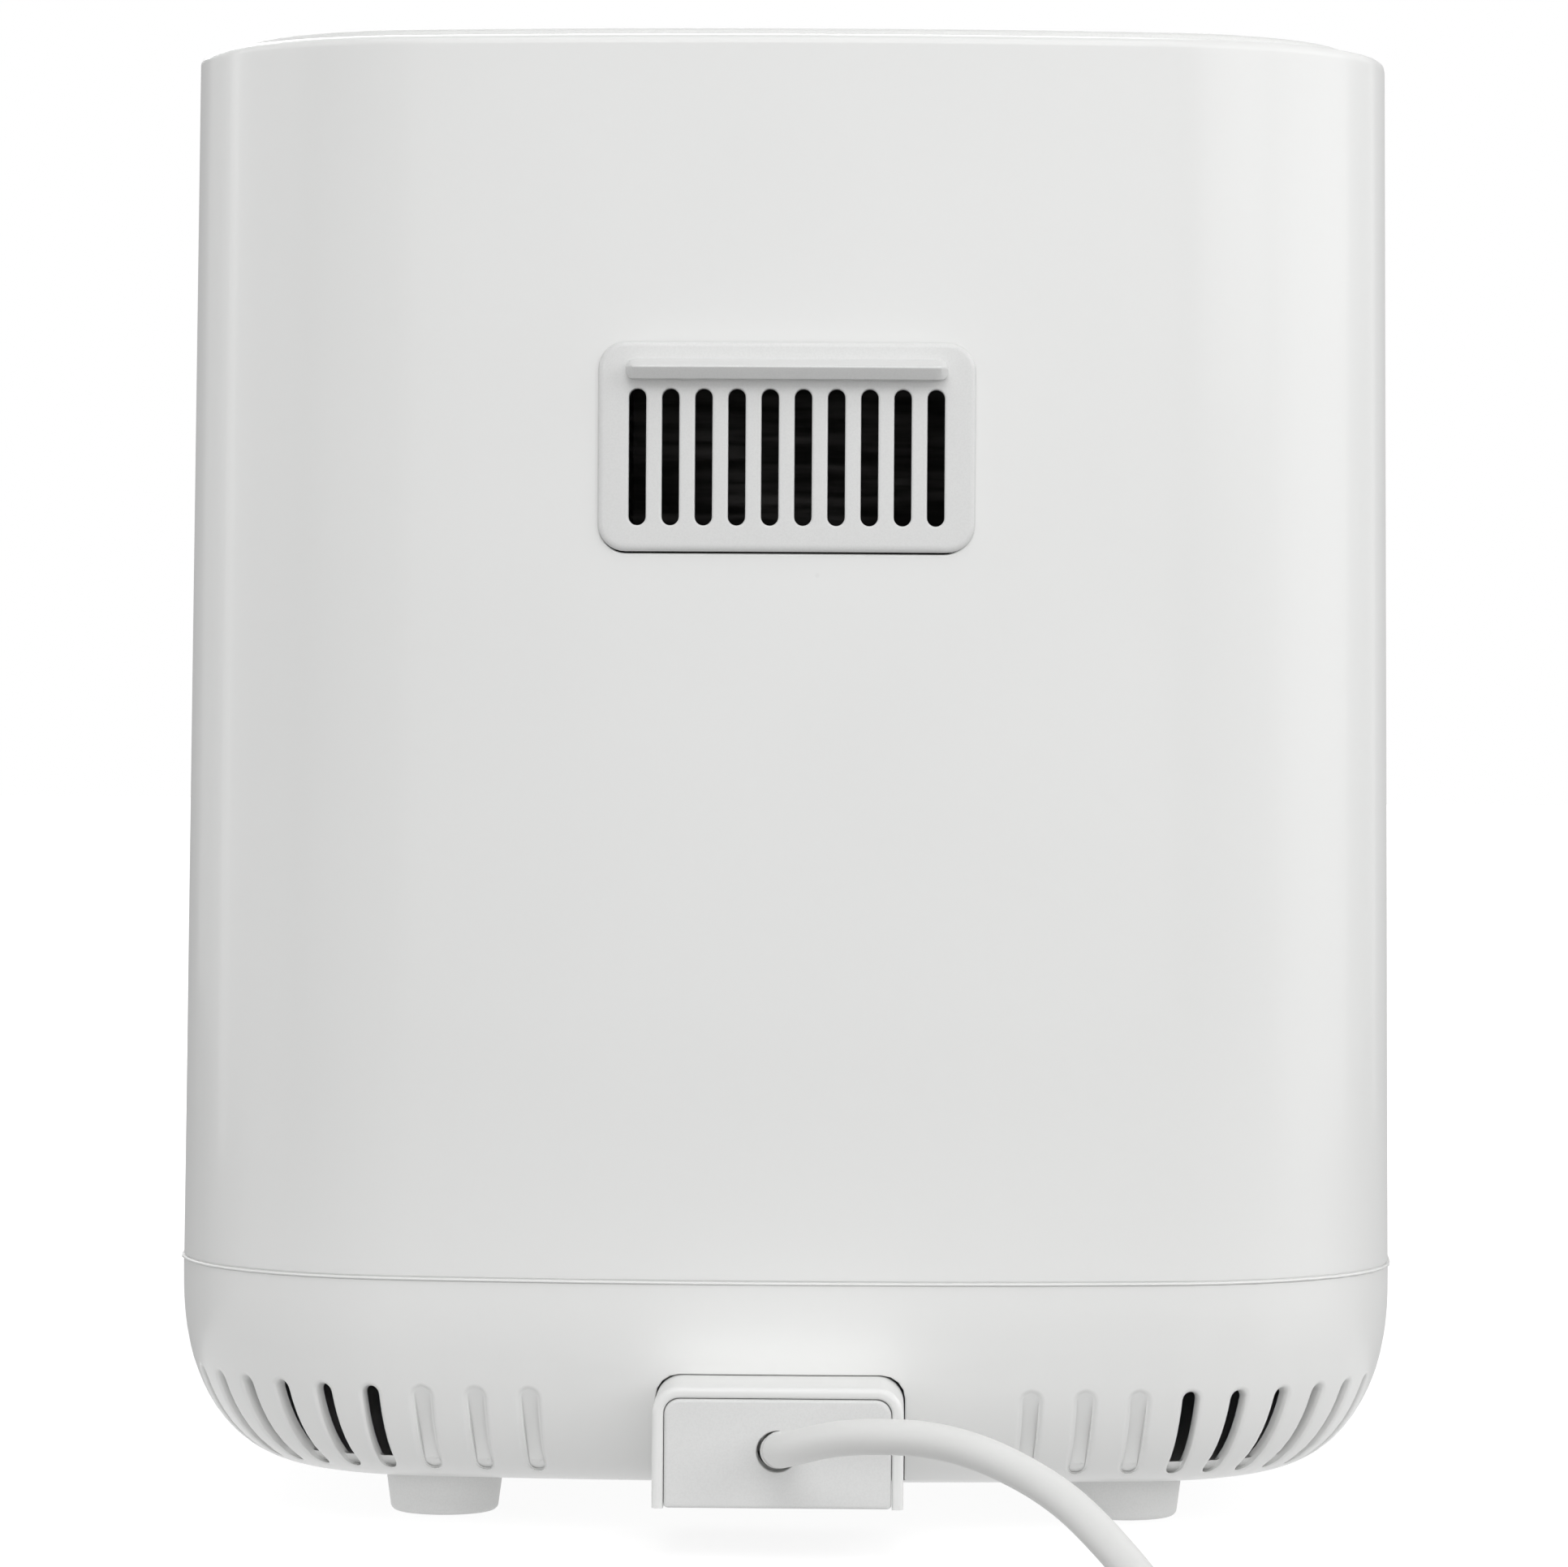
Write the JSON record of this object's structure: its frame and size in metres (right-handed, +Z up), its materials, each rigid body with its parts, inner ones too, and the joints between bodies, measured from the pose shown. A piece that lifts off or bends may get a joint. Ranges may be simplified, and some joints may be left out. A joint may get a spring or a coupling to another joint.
{
  "type": "hot air fryer",
  "caption": "Free-standing drawer-type hot air fryer: smooth rounded white body on a tucked-in base, rear air outlet with a ledge, cord block, front drawer with pan, and turning knobs.",
  "frame": {"origin": "on the table, under the middle of the width and of the depth from the handle's end to the cord block", "axes": "+Z up, -Y towards the user and the drawer, +Y towards the rear where the cord leaves, +X to the user's right when facing the drawer"},
  "size_m": [0.3332, 0.5741, 0.3171],
  "materials": {
    "white_gloss": "smooth glossy white moulding",
    "white_satin": "satin white moulding",
    "grey_satin": "satin mid-grey moulding",
    "dark_plastic": "dark heat-resisting moulding",
    "clear_lens": "tinted clear lens",
    "bright_trim": "bright plated trim",
    "coated_steel": "dark non-stick coating",
    "sheet_steel": "plated sheet steel",
    "heater_steel": "heat-darkened steel tube",
    "alloy": "pressed aluminium",
    "iron": "laminated iron",
    "copper": "enamelled copper winding",
    "brass": "plain turned brass",
    "seal_rubber": "soft dark rubber",
    "pad_rubber": "light rubber",
    "cord_sheath": "white flexible sheath"
  },
  "bodies": {
    "cabinet": {"outer_housing": "white_gloss", "top_cover": "white_gloss", "base_shell": "white_gloss", "housing_screws": "sheet_steel", "feet": "white_satin", "foot_pads": "pad_rubber", "exhaust_grille": "white_satin", "exhaust_duct": "alloy", "cord_block_frame": "white_gloss", "cord_block_plate": "white_satin", "cord_clamp": "white_satin", "cord_clamp_screws": "sheet_steel", "inner_lead": "cord_sheath", "terminal_block": "white_satin", "chamber_supports": "dark_plastic", "inner_chamber": "alloy", "front_bezel": "dark_plastic", "runner_rails": "alloy", "heat_reflector": "alloy", "heating_element": "heater_steel", "heater_brackets": "sheet_steel", "motor_bridge": "sheet_steel", "motor_spacers": "sheet_steel", "motor_stator": "iron", "motor_coil": "copper", "motor_yoke": "sheet_steel", "motor_bearings": "brass", "control_fascia": "grey_satin", "indicator_lenses": "clear_lens", "timer_unit": "dark_plastic", "thermostat_unit": "dark_plastic", "drawer_switch": "dark_plastic", "mains_lead": "cord_sheath", "mains_coil": "cord_sheath", "cord_tie": "dark_plastic", "plug_body": "cord_sheath", "plug_pins": "brass"},
    "fan_rotor": {"motor_shaft": "sheet_steel", "motor_rotor": "iron", "convection_fan": "alloy", "cooling_fan": "alloy", "fan_nut": "sheet_steel"},
    "timer_control": {"timer_knob": "white_gloss", "timer_knob_ring": "bright_trim", "timer_stem": "brass"},
    "thermostat_control": {"thermostat_knob": "white_gloss", "thermostat_knob_ring": "bright_trim", "thermostat_stem": "brass"},
    "drawer": {"drawer_front": "white_gloss", "drawer_backplate": "sheet_steel", "drawer_seal": "seal_rubber", "frying_pan": "coated_steel", "handle_bracket": "sheet_steel", "handle_upper": "white_gloss", "handle_lower": "grey_satin", "handle_screws": "sheet_steel"},
    "crisper": {"crisper_plate": "coated_steel", "crisper_feet": "seal_rubber"}
  },
  "joints": [
    {"name": "drawer_slide", "type": "slide", "parent": "cabinet", "child": "drawer", "axis": [0, -1, 0], "range_m": [0, 0.2]},
    {"name": "crisper_lift", "type": "slide", "parent": "drawer", "child": "crisper", "axis": [0, 0, 1], "range_m": [0, 0.055]},
    {"name": "timer_turn", "type": "hinge", "parent": "cabinet", "child": "timer_control", "pos_m": [0.048, -0.1269, 0.245], "axis": [0, 1, 0], "range_deg": [0, 300]},
    {"name": "thermostat_turn", "type": "hinge", "parent": "cabinet", "child": "thermostat_control", "pos_m": [-0.048, -0.1269, 0.245], "axis": [0, 1, 0], "range_deg": [0, 270]},
    {"name": "fan_spin", "type": "hinge", "parent": "cabinet", "child": "fan_rotor", "pos_m": [0, 0.0055, 0.2], "axis": [0, 0, 1], "continuous": true}
  ]
}
